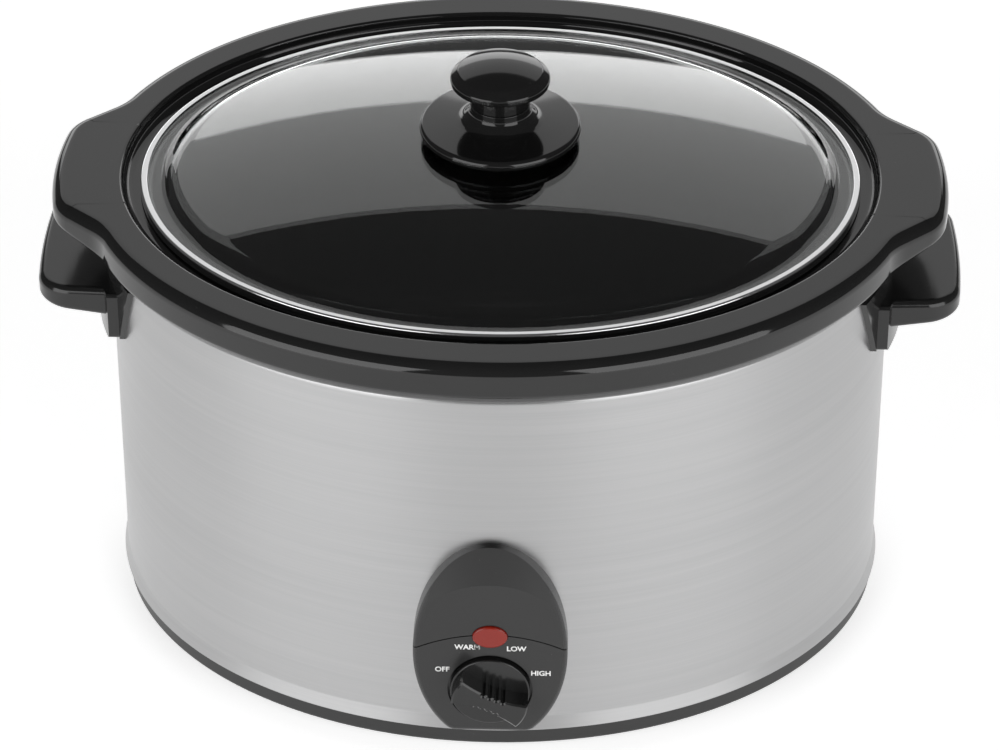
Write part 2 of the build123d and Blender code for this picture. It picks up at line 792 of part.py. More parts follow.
# The grip is a shelf, thinner at its tip
grip_tip = grip_reach - grip_bulge
with BuildPart() as handle_grip:
    with BuildSketch(Plane.XY.offset(grip_top - grip_root_thickness)) as grip_outline:
        with BuildLine():
            Polyline(
                (grip_tip, -grip_tip_half_width),
                (half_length - plate_half_width, -grip_root_half_width),
                (half_length - plate_half_width, grip_root_half_width),
                (grip_tip, grip_tip_half_width),
            )
            tip_corner = (grip_tip, grip_tip_half_width)
            ThreePointArc(tip_corner, (grip_reach, 0), (grip_tip, -grip_tip_half_width))
        make_face()
        fillet(grip_outline.vertices().group_by(Axis.X)[-1], grip_corner)
    extrude(amount=grip_root_thickness)
    fillet(edges_at(handle_grip, grip_top).sort_by(Axis.X)[1:], grip_top_round)
    with BuildSketch(Plane.XZ):
        Polygon(
            (half_length, grip_top - grip_root_thickness),
            (2 * grip_reach - half_length, grip_top - grip_root_thickness),
            (2 * grip_reach - half_length, grip_top - 2 * grip_tip_thickness + grip_root_thickness),
            align=None,
        )
    extrude(amount=grip_root_half_width, both=True, mode=Mode.SUBTRACT)
    grip_underside = handle_grip.faces().sort_by(Axis.Z)[1]
    fillet(grip_underside.edges().sort_by(Axis.X)[1:], grip_under_round)


screw_seat = shell_reach_x(handle_screw_spacing / 2 + handle_screw_head_radius, -shell_wall)
screw_end = shell_reach_x(handle_screw_spacing / 2) + handle_screw_bite
with BuildPart() as handle_right:
    add(handle_wings.part)
    add(handle_plate.part)
    add(handle_grip.part)
    add(shell_outside.part, mode=Mode.SUBTRACT)
    for y, z in handle_screws:
        add(side_disc(handle_screw_radius, screw_seat, screw_end, y, z), mode=Mode.SUBTRACT)
write(handle_right.part, "handle_right")

with BuildPart() as handle_left:
    mirror(handle_right.part, about=Plane.YZ)
write(handle_left.part, "handle_left")

with BuildPart() as handle_screw_set:
    for y, z in handle_screws:
        add(side_disc(handle_screw_radius, screw_seat, screw_end, y, z))
        head_end = screw_seat - handle_screw_head_height
        add(side_disc(handle_screw_head_radius, head_end, screw_seat, y, z))
    mirror(handle_screw_set.part, about=Plane.YZ)
write(handle_screw_set.part, "handle_screws")

# ---------------------------------------------------------------- control panel

panel_back = shell_reach_y(panel_half_width) - panel_wall


def panel_egg(inset):
    """The panel's outline: half of a tall oval over half of a lower one, cut flat at the foot."""
    half_width = panel_half_width - inset
    with BuildSketch(Plane.XZ.offset(panel_back)) as egg:
        with Locations((0, panel_widest_z)):
            Ellipse(half_width, panel_upper_height - inset)
        with Locations((0, panel_widest_z - panel_upper_height)):
            Rectangle(2 * half_width, 2 * panel_upper_height, mode=Mode.SUBTRACT)
        with Locations((0, panel_widest_z)):
            Ellipse(half_width, panel_lower_height - inset)
        with Locations((0, panel_foot + inset - panel_lower_height)):
            Rectangle(2 * half_width, 2 * panel_lower_height, mode=Mode.SUBTRACT)
        fillet(egg.vertices().group_by(Axis.Y)[0], panel_foot_corner - inset)
    return egg.sketch


def panel_cone(face_distance):
    """The bevelled top of the hood: a cone that opens backwards from the face."""
    cone_depth = face_distance - panel_back
    with BuildPart() as cone:
        with BuildSketch(Plane.XZ.offset(panel_back)):
            with Locations((0, facet_arch_z - facet_arch_radius)):
                Circle(facet_arch_radius + facet_reach * cone_depth / facet_depth)
        with BuildSketch(Plane.XZ.offset(face_distance)):
            with Locations((0, facet_arch_z - facet_arch_radius)):
                Circle(facet_arch_radius)
        loft(ruled=True)
    return cone.part


def lens_plug(margin, near, far):
    """An oval block round the lens's centre, between two distances in front of the middle."""
    with BuildPart() as plug:
        with BuildSketch(Plane.XZ.offset(near)):
            with Locations((0, lens_z)):
                Ellipse(lens_half_width + margin, lens_half_height + margin)
        extrude(amount=far - near)
    return plug.part


def boss_set(centres):
    """Bosses that stand from the shell to the panel's front wall."""
    with BuildPart() as bosses:
        for x, z in centres:
            add(front_disc(panel_boss_radius, panel_back, panel_face - panel_wall, x, z))
    return bosses.part


def bore_set(centres):
    """Screw bores from the shell into the bosses."""
    with BuildPart() as bores:
        for x, z in centres:
            add(front_disc(panel_screw_radius, panel_back, half_depth + panel_screw_bite, x, z))
    return bores.part


with BuildPart() as panel_block:
    extrude(panel_egg(0), amount=panel_face - panel_back)
    fillet(panel_block.faces().sort_by(Axis.Y)[0].edges(), panel_edge_round)

with BuildPart() as panel_cavity:
    extrude(panel_egg(panel_wall), amount=panel_face - panel_wall - panel_back)

with BuildPart() as hood_cavity:
    add(panel_cavity.part)
    add(panel_cone(panel_face - panel_wall), mode=Mode.INTERSECT)

seam_centre_z = seam_arch_z - seam_arch_radius
with BuildPart() as control_hood:
    add(panel_block.part)
    add(panel_cone(panel_face), mode=Mode.INTERSECT)
    add(hood_cavity.part, mode=Mode.SUBTRACT)
    add(boss_set(hood_screws))
    add(shell_outside.part, mode=Mode.SUBTRACT)
    below_seam = front_disc(seam_arch_radius + seam_width / 2, panel_back, panel_face, 0, seam_centre_z)
    add(below_seam, mode=Mode.SUBTRACT)
    add(bore_set(hood_screws), mode=Mode.SUBTRACT)
    add(lens_plug(lens_gap, panel_back, panel_face), mode=Mode.SUBTRACT)
write(control_hood.part, "control_hood")

with BuildPart() as control_bezel:
    add(panel_block.part)
    add(panel_cavity.part, mode=Mode.SUBTRACT)
    cup_radius = dial_recess_radius + panel_wall
    add(front_disc(cup_radius, dial_floor - panel_wall, panel_face - panel_wall, 0, dial_z))
    add(boss_set(bezel_screws))
    add(shell_outside.part, mode=Mode.SUBTRACT)
    within_seam = front_disc(seam_arch_radius - seam_width / 2, panel_back, panel_face, 0, seam_centre_z)
    add(within_seam, mode=Mode.INTERSECT)
    add(front_disc(dial_recess_radius, dial_floor, panel_face, 0, dial_z), mode=Mode.SUBTRACT)
    add(front_disc(shaft_radius + shank_gap, panel_back, panel_face, 0, dial_z), mode=Mode.SUBTRACT)
    add(bore_set(bezel_screws), mode=Mode.SUBTRACT)
    add(lens_plug(lens_gap, panel_back, panel_face), mode=Mode.SUBTRACT)
write(control_bezel.part, "control_bezel")

with BuildPart() as panel_screws:
    for x, z in hood_screws + bezel_screws:
        seat_y = shell_reach_y(abs(x) + panel_screw_head_radius, -shell_wall)
        add(front_disc(panel_screw_radius, seat_y, half_depth + panel_screw_bite, x, z))
        add(front_disc(panel_screw_head_radius, seat_y - panel_screw_head_height, seat_y, x, z))
write(panel_screws.part, "panel_screws")

lens_back = panel_face - panel_wall - lens_rim
with BuildPart() as indicator_lens:
    add(lens_plug(0, lens_back, panel_face + lens_proud))
    fillet(indicator_lens.edges().group_by(Axis.Y)[0], lens_round)
    add(lens_plug(lens_rim, lens_back, panel_face - panel_wall))
write(indicator_lens.part, "indicator_lens")

lamp_foot = lens_back - lamp_length
collar_seat = shell_reach_y(lamp_collar_radius, -shell_wall)
with BuildPart() as indicator_lamp:
    add(front_disc(lamp_radius, lamp_foot, lens_back, 0, lens_z))
    add(front_disc(lamp_collar_radius, collar_seat - lamp_collar_height, collar_seat, 0, lens_z))
write(indicator_lamp.part, "indicator_lamp")

# ---------------------------------------------------------------- dial and switch

switch_front = shell_reach_y(switch_size / 2, -shell_wall)
switch_back = switch_front - switch_depth
shaft_start = switch_front - switch_bore_depth
with BuildPart() as rotary_switch:
    with BuildSketch(Plane.XZ.offset(switch_back)):
        with Locations((0, dial_z)):
            Rectangle(switch_size, switch_size)
    extrude(amount=switch_depth)
    bush_end = half_depth + switch_nut_height + switch_bush_extra
    add(front_disc(switch_bush_radius, switch_front, bush_end, 0, dial_z))
    with BuildSketch(Plane.XZ.offset(switch_back)):
        with Locations((0, dial_z)):
            with GridLocations(tab_spacing, 1, 2, 1):
                Rectangle(tab_width, tab_thickness)
    extrude(amount=-tab_length)
    shaft_bore = front_disc(shaft_radius + turning_gap, shaft_start - turning_gap, bush_end, 0, dial_z)
    add(shaft_bore, mode=Mode.SUBTRACT)
write(rotary_switch.part, "rotary_switch")

with BuildPart() as switch_nut:
    with BuildSketch(Plane.XZ.offset(half_depth)):
        with Locations((0, dial_z)):
            RegularPolygon(switch_nut_radius, 6)
            Circle(switch_bush_radius, mode=Mode.SUBTRACT)
    extrude(amount=switch_nut_height)
write(switch_nut.part, "switch_nut")

write(front_disc(shaft_radius, shaft_start, dial_back + shaft_bite, 0, dial_z), "dial_shaft")

# Round skirt with a waisted bar across it, grooved for the fingers
dial_turn = radians(90 + dial_off_angle)
dial_plane = Plane(
    origin=(0, -dial_face, dial_z),
    x_dir=(cos(dial_turn), 0, sin(dial_turn)),
    z_dir=(0, -1, 0),
)
with BuildPart() as dial:
    add(front_disc(dial_radius, dial_back, dial_face, 0, dial_z))
    fillet(dial.edges().group_by(Axis.Y)[0], dial_edge_round)
    with BuildSketch(dial_plane):
        with BuildLine():
            reach = dial_radius
            end = dial_grip_end
            ThreePointArc((reach, end), (0, dial_grip_waist), (-reach, end))
            Line((-reach, end), (-reach, -end))
            ThreePointArc((-reach, -end), (0, -dial_grip_waist), (reach, -end))
            Line((reach, -end), (reach, end))
        make_face()
        Circle(dial_radius - dial_edge_round, mode=Mode.INTERSECT)
        with GridLocations(dial_groove_pitch, 2 * dial_grip_waist, dial_groove_count, 2):
            Circle(dial_groove_radius, mode=Mode.SUBTRACT)
    extrude(amount=dial_grip_height)
    chamfer(dial.faces().sort_by(Axis.Y)[0].outer_wire().edges(), dial_edge_round)
    add(front_disc(shaft_radius, dial_back, dial_back + shaft_bite, 0, dial_z), mode=Mode.SUBTRACT)
write(dial.part, "dial")

# ---------------------------------------------------------------- mains inlet and wiring

gland_seat = shell_reach_y(gland_flange_radius)
nut_seat = shell_reach_y(gland_nut_radius, -shell_wall)
with BuildPart() as cord_gland:
    add(front_disc(gland_flange_radius, -half_depth - gland_flange, -gland_seat, 0, gland_z))
    fillet(cord_gland.edges().group_by(Axis.Y)[-1], gland_round)
    add(shell_outside.part, mode=Mode.SUBTRACT)
    thread_end = -nut_seat + gland_nut_height
    add(front_disc(gland_radius, -half_depth, thread_end, 0, gland_z))
    add(front_disc(gland_bore, -half_depth - gland_flange, thread_end, 0, gland_z), mode=Mode.SUBTRACT)
write(cord_gland.part, "cord_gland")

with BuildPart() as gland_nut:
    with BuildSketch(Plane.XZ.offset(-nut_seat)):
        with Locations((0, gland_z)):
            RegularPolygon(gland_nut_radius, 6)
            Circle(gland_radius, mode=Mode.SUBTRACT)
    extrude(amount=gland_nut_height)
write(gland_nut.part, "gland_nut")

with BuildPart() as terminal_block:
    with BuildSketch(Plane.XY.offset(block_foot)):
        with Locations((0, block_back)):
            Rectangle(block_length, block_width)
    extrude(amount=block_height)
write(terminal_block.part, "terminal_block")

lead_z = block_foot + lead_level
heater_y = half_depth + liner_outside(heater_bottom) + heater_thickness / 2
with BuildPart() as internal_leads:
    for side in (-1, 1):
        lead_x = side * tab_spacing / 2
        with BuildLine() as switch_lead:
            FilletPolyline(
                (lead_x, block_back - block_width / 2, lead_z),
                (lead_x, -lead_rise_y, lead_z),
                (lead_x, -lead_rise_y, dial_z),
                (lead_x, tab_length - switch_back, dial_z),
                radius=lead_bend,
            )
        with BuildSketch(Plane(switch_lead.line @ 0, z_dir=switch_lead.line % 0)):
            Circle(lead_radius)
        sweep(path=switch_lead.line)
        with BuildLine() as heater_lead:
            FilletPolyline(
                (lead_x, block_back + block_width / 2, lead_z),
                (lead_x, heater_y, lead_z),
                (lead_x, heater_y, heater_bottom),
                radius=lead_bend,
            )
        with BuildSketch(Plane(heater_lead.line @ 0, z_dir=heater_lead.line % 0)):
            Circle(lead_radius)
        sweep(path=heater_lead.line)
write(internal_leads.part, "internal_leads")

fuse_z = liner_floor_under - fuse_radius
with BuildPart() as thermal_fuse:
    with BuildSketch(Plane.YZ.offset(fuse_x)):
        with Locations((fuse_y, fuse_z)):
            Circle(fuse_radius)
    extrude(amount=fuse_length / 2, both=True)
write(thermal_fuse.part, "thermal_fuse")

# The clip is a strip bent under the fuse, its feet welded to the liner
with BuildPart() as fuse_clip:
    with BuildSketch(Plane.YZ.offset(fuse_x)):
        clip_half = fuse_radius + fuse_clip_sheet
        with Locations((fuse_y, liner_floor_under - clip_half)):
            Rectangle(2 * clip_half, 2 * clip_half)
        with Locations((fuse_y, liner_floor_under - fuse_clip_sheet / 2)):
            Rectangle(2 * (clip_half + fuse_clip_foot), fuse_clip_sheet)
        with Locations((fuse_y, fuse_z)):
            Rectangle(2 * fuse_radius, 2 * fuse_radius, mode=Mode.SUBTRACT)
    extrude(amount=fuse_clip_width / 2, both=True)
write(fuse_clip.part, "fuse_clip")
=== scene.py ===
import math

import bmesh
import bpy
from mathutils import Matrix, Vector


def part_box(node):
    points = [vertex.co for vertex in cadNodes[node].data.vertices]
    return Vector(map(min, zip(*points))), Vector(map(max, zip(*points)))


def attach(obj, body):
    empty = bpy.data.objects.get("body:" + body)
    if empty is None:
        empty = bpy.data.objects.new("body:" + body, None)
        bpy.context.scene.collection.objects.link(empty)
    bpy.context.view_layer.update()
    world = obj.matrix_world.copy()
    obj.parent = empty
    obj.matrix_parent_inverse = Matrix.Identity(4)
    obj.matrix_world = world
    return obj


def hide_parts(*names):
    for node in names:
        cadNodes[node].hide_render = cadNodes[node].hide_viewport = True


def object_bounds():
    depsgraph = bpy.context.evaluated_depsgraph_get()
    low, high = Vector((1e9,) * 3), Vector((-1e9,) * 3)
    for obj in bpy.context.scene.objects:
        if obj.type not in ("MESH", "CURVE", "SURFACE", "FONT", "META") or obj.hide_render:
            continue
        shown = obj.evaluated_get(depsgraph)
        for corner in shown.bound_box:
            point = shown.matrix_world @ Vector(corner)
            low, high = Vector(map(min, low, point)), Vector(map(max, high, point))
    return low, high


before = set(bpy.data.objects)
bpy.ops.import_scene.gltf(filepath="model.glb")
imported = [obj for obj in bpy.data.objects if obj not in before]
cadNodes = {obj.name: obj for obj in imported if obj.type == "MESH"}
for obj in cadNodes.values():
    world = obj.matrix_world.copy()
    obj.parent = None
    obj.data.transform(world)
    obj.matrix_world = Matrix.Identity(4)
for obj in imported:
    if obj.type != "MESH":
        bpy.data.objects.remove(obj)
cadLow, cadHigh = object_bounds()
mm = 0.001

# Every oval follows the base tray's outline, grown or shrunk by an offset
trayLow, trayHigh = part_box("base_tray")
halfLength = (trayHigh.x - trayLow.x) / 2
halfDepth = (trayHigh.y - trayLow.y) / 2
middle = (trayHigh + trayLow) / 2


# ---- small helpers for meshes

def rounded(corners, closed=False, steps=5):
    # corners are (across, up, radius), and each radius becomes an arc
    points = []
    for i, (x, y, radius) in enumerate(corners):
        here = Vector((x, y))
        if radius <= 0 or (not closed and i in (0, len(corners) - 1)):
            points.append(here)
            continue
        before = (Vector(corners[i - 1][:2]) - here).normalized()
        after = (Vector(corners[(i + 1) % len(corners)][:2]) - here).normalized()
        half = before.angle(after) / 2
        centre = here + (before + after).normalized() * (radius / math.sin(half))
        start = here + before * (radius / math.tan(half)) - centre
        end = here + after * (radius / math.tan(half)) - centre
        first = math.atan2(start.y, start.x)
        turn = (math.atan2(end.y, end.x) - first + math.pi) % math.tau - math.pi
        for step in range(steps + 1):
            angle = first + turn * step / steps
            points.append(centre + Vector((math.cos(angle), math.sin(angle))) * radius)
    return points


def evenAngles(count):
    return [math.tau * i / count for i in range(count)]


def ovalRing(offset, z, squeeze=0.0, angles=evenAngles(320)):
    across = halfLength + offset
    deep = halfDepth + offset - squeeze
    return [
        Vector((middle.x + across * math.cos(t), middle.y + deep * math.sin(t), z)) for t in angles
    ]


def ovalRings(profile, squeeze=0.0, angles=evenAngles(320)):
    return [ovalRing(p.x, p.y, squeeze, angles) for p in profile]


def latheRings(profile, centre, stretch=1.0, count=128):
    rings = []
    for p in profile:
        ring = []
        for t in evenAngles(count):
            x = centre.x + p.x * stretch * math.cos(t)
            y = centre.y + p.x * math.sin(t)
            ring.append(Vector((x, y, p.y)))
        rings.append(ring)
    return rings


def capRadius(reach, rise):
    # the radius of an arc that rises this much over this half width
    return (reach ** 2 + rise ** 2) / (2 * rise)


def towardsPole(ring, z, shares=(0.75, 0.5, 0.25)):
    # rings that close a flat end, and the single point in its middle
    pole = Vector((middle.x, middle.y, z))
    return [[pole.lerp(p, share) for p in ring] for share in shares] + [[pole]]


def ringMesh(name, rings, loop=False):
    points = []
    starts = []
    for ring in rings:
        starts.append(len(points))
        points.extend(ring)
    faces = []
    pairs = list(zip(range(len(rings)), range(1, len(rings))))
    if loop:
        pairs.append((len(rings) - 1, 0))
    for a, b in pairs:
        count = max(len(rings[a]), len(rings[b]))
        for i in range(count):
            j = (i + 1) % count
            if len(rings[a]) == 1:
                faces.append((starts[a], starts[b] + i, starts[b] + j))
            elif len(rings[b]) == 1:
                faces.append((starts[a] + i, starts[b], starts[a] + j))
            else:
                faces.append((starts[a] + i, starts[b] + i, starts[b] + j, starts[a] + j))
    mesh = bpy.data.meshes.new(name)
    mesh.from_pydata(points, [], faces)
    return mesh


def addPiece(name, mesh, material, body, slot, *replaced):
    bm = bmesh.new()
    bm.from_mesh(mesh)
    bmesh.ops.remove_doubles(bm, verts=bm.verts, dist=0.002 * mm)
    bmesh.ops.recalc_face_normals(bm, faces=bm.faces)
    bm.to_mesh(mesh)
    bm.free()
    for face in mesh.polygons:
        face.use_smooth = True
    piece = bpy.data.objects.new(name, mesh)
    bpy.context.scene.collection.objects.link(piece)
    mesh.materials.append(material)
    weighted = piece.modifiers.new("flatStaysFlat", "WEIGHTED_NORMAL")
    weighted.mode = "FACE_AREA"
    weighted.weight = 80
    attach(piece, body)
    if replaced:
        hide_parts(*replaced)
    return piece


# ---- shader node groups that several materials share

def newGroup(name, inputs, outputs):
    group = bpy.data.node_groups.new(name, "ShaderNodeTree")
    for label, value in inputs.items():
        socket = group.interface.new_socket(
            name=label, in_out="INPUT", socket_type="NodeSocketFloat"
        )
        socket.default_value = value
    for label, kind in outputs.items():
        group.interface.new_socket(name=label, in_out="OUTPUT", socket_type=kind)
    return group, group.nodes.new("NodeGroupInput"), group.nodes.new("NodeGroupOutput")


def addNode(tree, kind, **values):
    # values are the node's own settings or its input sockets
    node = tree.nodes.new("ShaderNode" + kind)
    for key, value in values.items():
        if hasattr(node, key):
            setattr(node, key, value)
        else:
            node.inputs[key].default_value = value
    return node


def makeBrushedGroup():
    # level scratches: noise drawn out round the metal, fine and coarse, and a slow wander
    group, source, result = newGroup(
        "brushedLines",
        {"Fineness": 1.0, "Streaks": 0.5},
        {"Lines": "NodeSocketFloat", "Wander": "NodeSocketFloat", "Normal": "NodeSocketVector"},
    )
    links = group.links
    place = addNode(group, "TexCoord")
    noises = {}
    for label, scale, detail in (
        ("fine", (14, 14, 1900), 3.0),
        ("coarse", (5, 5, 420), 2.0),
        ("wander", (7, 7, 16), 3.0),
    ):
        mapping = addNode(group, "Mapping", Scale=scale)
        noise = addNode(group, "TexNoise", Detail=detail)
        links.new(place.outputs["Object"], mapping.inputs["Vector"])
        links.new(mapping.outputs["Vector"], noise.inputs["Vector"])
        noises[label] = noise
    links.new(source.outputs["Fineness"], noises["fine"].inputs["Scale"])
    links.new(source.outputs["Fineness"], noises["coarse"].inputs["Scale"])
    noises["wander"].inputs["Scale"].default_value = 1.0
    mix = addNode(group, "Mix", data_type="FLOAT")
    links.new(source.outputs["Streaks"], mix.inputs[0])
    links.new(noises["fine"].outputs["Fac"], mix.inputs[2])
    links.new(noises["coarse"].outputs["Fac"], mix.inputs[3])
    bump = addNode(group, "Bump", Strength=0.06, Distance=0.05 * mm)
    links.new(mix.outputs[0], bump.inputs["Height"])
    links.new(mix.outputs[0], result.inputs["Lines"])
    links.new(noises["wander"].outputs["Fac"], result.inputs["Wander"])
    links.new(bump.outputs["Normal"], result.inputs["Normal"])
    return group


def makeMouldedGroup():
    # moulded and glazed skins: a slow ripple, fine pores and a little settled dust
    group, source, result = newGroup(
        "mouldedSkin",
        {
            "Ripple": 0.02,
            "Ripple Scale": 60.0,
            "Pores": 0.02,
            "Pore Scale": 2500.0,
            "Haze Scale": 18.0,
        },
        {"Haze": "NodeSocketFloat", "Specks": "NodeSocketFloat", "Normal": "NodeSocketVector"},
    )
    links = group.links
    place = addNode(group, "TexCoord")
    noises = {}
    for label in ("Ripple", "Pore", "Haze"):
        noise = addNode(group, "TexNoise", Detail=2.0)
        links.new(place.outputs["Object"], noise.inputs["Vector"])
        links.new(source.outputs[label + " Scale"], noise.inputs["Scale"])
        noises[label] = noise
    speck = addNode(group, "TexVoronoi", Scale=170.0)
    links.new(place.outputs["Object"], speck.inputs["Vector"])
    speckMask = addNode(group, "MapRange")
    speckMask.inputs["From Min"].default_value = 0.035
    speckMask.inputs["From Max"].default_value = 0.02
    links.new(speck.outputs["Distance"], speckMask.inputs["Value"])
    rippleBump = addNode(group, "Bump", Distance=1.0 * mm)
    poreBump = addNode(group, "Bump", Distance=0.03 * mm)
    links.new(source.outputs["Ripple"], rippleBump.inputs["Strength"])
    links.new(source.outputs["Pores"], poreBump.inputs["Strength"])
    links.new(noises["Ripple"].outputs["Fac"], rippleBump.inputs["Height"])
    links.new(noises["Pore"].outputs["Fac"], poreBump.inputs["Height"])
    links.new(rippleBump.outputs["Normal"], poreBump.inputs["Normal"])
    links.new(noises["Haze"].outputs["Fac"], result.inputs["Haze"])
    links.new(speckMask.outputs["Result"], result.inputs["Specks"])
    links.new(poreBump.outputs["Normal"], result.inputs["Normal"])
    return group


brushedLines = makeBrushedGroup()
mouldedSkin = makeMouldedGroup()


# ---- materials

def startMaterial(name, **sockets):
    material = bpy.data.materials.new(name)
    material.use_nodes = True
    shader = material.node_tree.nodes["Principled BSDF"]
    for label, value in sockets.items():
        shader.inputs[label.replace("_", " ")].default_value = value
    return material, material.node_tree, shader


def grey(value):
    return (value, value, value)


def spread(tree, value, low, high):
    # turns a 0 to 1 mask into a range of values
    node = addNode(tree, "MapRange")
    node.inputs["To Min"].default_value = low
    node.inputs["To Max"].default_value = high
    tree.links.new(value, node.inputs["Value"])
    return node.outputs["Result"]


def tint(tree, mask, dark, light):
    mix = addNode(tree, "Mix", data_type="RGBA")
    mix.inputs[6].default_value = (*dark, 1)
    mix.inputs[7].default_value = (*light, 1)
    tree.links.new(mask, mix.inputs[0])
    return mix.outputs[2]


def brushedMetal(name, dark, light, roughness, fineness=1.0, streaks=0.5, grain=0.75):
    material, tree, shader = startMaterial(
        name, Metallic=1.0, Anisotropic=grain, Anisotropic_Rotation=0.25
    )
    lines = addNode(tree, "Group", node_tree=brushedLines, Fineness=fineness, Streaks=streaks)
    tree.links.new(tint(tree, lines.outputs["Lines"], dark, light), shader.inputs["Base Color"])
    tree.links.new(spread(tree, lines.outputs["Wander"], *roughness), shader.inputs["Roughness"])
    tree.links.new(lines.outputs["Normal"], shader.inputs["Normal"])
    tangent = addNode(tree, "Tangent", direction_type="RADIAL", axis="Z")
    tree.links.new(tangent.outputs["Tangent"], shader.inputs["Tangent"])
    return material


def mouldedMaterial(
    name, dark, light, roughness, ripple=0.02, pores=0.02, poreScale=2500.0, dust=0.3, **sockets
):
    material, tree, shader = startMaterial(name, **sockets)
    skin = addNode(tree, "Group", node_tree=mouldedSkin, Ripple=ripple, Pores=pores)
    skin.inputs["Pore Scale"].default_value = poreScale
    dusty = addNode(tree, "Mix", data_type="RGBA")
    dusty.inputs[7].default_value = (0.22, 0.22, 0.21, 1)
    tree.links.new(spread(tree, skin.outputs["Specks"], 0.0, dust), dusty.inputs[0])
    tree.links.new(tint(tree, skin.outputs["Haze"], dark, light), dusty.inputs[6])
    tree.links.new(dusty.outputs[2], shader.inputs["Base Color"])
    tree.links.new(spread(tree, skin.outputs["Haze"], *roughness), shader.inputs["Roughness"])
    tree.links.new(skin.outputs["Normal"], shader.inputs["Normal"])
    return material


# each takes its darkest and lightest colour and its range of roughness
shellSteel = brushedMetal("shellSteel", (0.40, 0.40, 0.405), grey(0.50), (0.26, 0.36))
bandSteel = brushedMetal("bandSteel", (0.70, 0.70, 0.71), grey(0.80), (0.10, 0.20), grain=0.3)
linerMetal = brushedMetal(
    "linerMetal", (0.50, 0.50, 0.49), (0.66, 0.66, 0.65), (0.34, 0.48), 0.6, 0.8, 0.4
)
zincMetal = brushedMetal(
    "zincMetal", (0.52, 0.53, 0.54), (0.70, 0.70, 0.69), (0.22, 0.38), 1.6, 0.3, 0.2
)
fuseMetal = brushedMetal(
    "fuseMetal", (0.50, 0.38, 0.16), (0.70, 0.56, 0.28), (0.25, 0.4), 1.6, 0.3, 0.2
)
crockGlaze = mouldedMaterial(
    "crockGlaze", grey(0.008), grey(0.014), (0.04, 0.09), 0.012, 0.01, 900.0
)
knobPlastic = mouldedMaterial("knobPlastic", grey(0.007), grey(0.012), (0.06, 0.12), 0.01)
handlePlastic = mouldedMaterial("handlePlastic", grey(0.009), grey(0.015), (0.10, 0.18), 0.015)
panelPlastic = mouldedMaterial("panelPlastic", grey(0.014), grey(0.020), (0.20, 0.28), 0.01, 0.05)
dialPlastic = mouldedMaterial("dialPlastic", grey(0.008), grey(0.013), (0.12, 0.2), 0.01)
basePlastic = mouldedMaterial(
    "basePlastic", grey(0.013), grey(0.022), (0.34, 0.46), 0.02, 0.2, 1800.0
)
feetRubber = mouldedMaterial("feetRubber", grey(0.02), grey(0.04), (0.7, 0.85), 0.02, 0.3, 1500.0)
gasketRubber = mouldedMaterial("gasketRubber", grey(0.015), grey(0.03), (0.5, 0.65), 0.02, 0.2)
switchPlastic = mouldedMaterial(
    "switchPlastic", (0.62, 0.56, 0.42), (0.72, 0.66, 0.52), (0.4, 0.55), 0.03, 0.2
)
glandPlastic = mouldedMaterial("glandPlastic", grey(0.015), grey(0.028), (0.35, 0.5), 0.02, 0.1)
heaterWrap = mouldedMaterial(
    "heaterWrap", (0.42, 0.36, 0.25), (0.62, 0.56, 0.44), (0.7, 0.9), 0.1, 0.6, 900.0
)
leadSleeve = mouldedMaterial(
    "leadSleeve", (0.55, 0.52, 0.44), (0.75, 0.73, 0.66), (0.7, 0.9), 0.05, 0.8, 1200.0
)
legendPaint = mouldedMaterial(
    "legendPaint", (0.78, 0.78, 0.77), (0.86, 0.86, 0.85), (0.4, 0.5), 0.0, 0.1, dust=0.0
)
lensRed = mouldedMaterial(
    "lensRed", (0.22, 0.006, 0.003), (0.38, 0.025, 0.008), (0.10, 0.2), 0.05, 0.02, dust=0.0,
    Transmission_Weight=0.25, IOR=1.49,
)
lampGlass = mouldedMaterial(
    "lampGlass", (0.8, 0.76, 0.7), (0.9, 0.87, 0.8), (0.03, 0.08), 0.02, 0.0, dust=0.0,
    Transmission_Weight=1.0, IOR=1.5,
)
lidGlass = mouldedMaterial(
    "lidGlass", (0.90, 0.92, 0.915), (0.96, 0.975, 0.97), (0.0, 0.012), 0.004, 0.0, dust=0.0,
    Transmission_Weight=1.0, IOR=1.52,
)
print("materials made")


def dressNodes(material, *names):
    # a CAD node keeps its shape and takes this finish
    for name in names:
        mesh = cadNodes[name].data
        mesh.materials.clear()
        mesh.materials.append(material)


dressNodes(basePlastic, "base_tray")
dressNodes(feetRubber, "rubber_feet")
dressNodes(linerMetal, "heating_liner", "heat_shield", "tie_bridge", "heater_strap", "fuse_clip")
dressNodes(heaterWrap, "heating_band")
dressNodes(zincMetal, "strap_screw", "tie_bolt", "tie_nut", "handle_screws", "panel_screws")
dressNodes(zincMetal, "knob_screw", "knob_washer", "switch_nut", "dial_shaft")
dressNodes(gasketRubber, "knob_gasket")
dressNodes(handlePlastic, "handle_left", "handle_right")
dressNodes(panelPlastic, "control_hood", "control_bezel")
dressNodes(dialPlastic, "dial")
dressNodes(lensRed, "indicator_lens")
dressNodes(lampGlass, "indicator_lamp")
dressNodes(switchPlastic, "rotary_switch", "terminal_block")
dressNodes(glandPlastic, "cord_gland", "gland_nut")
dressNodes(leadSleeve, "internal_leads")
dressNodes(fuseMetal, "thermal_fuse")


# ---- outer shell: one steel sheet with a rolled top edge and a small flare at its foot

shellLook = {
    "wall": 0.8 * mm,
    "roll": 4.5 * mm,
    "lip": 3.0 * mm,
    "hem": 0.35 * mm,
    "flareHeight": 6.5 * mm,
}


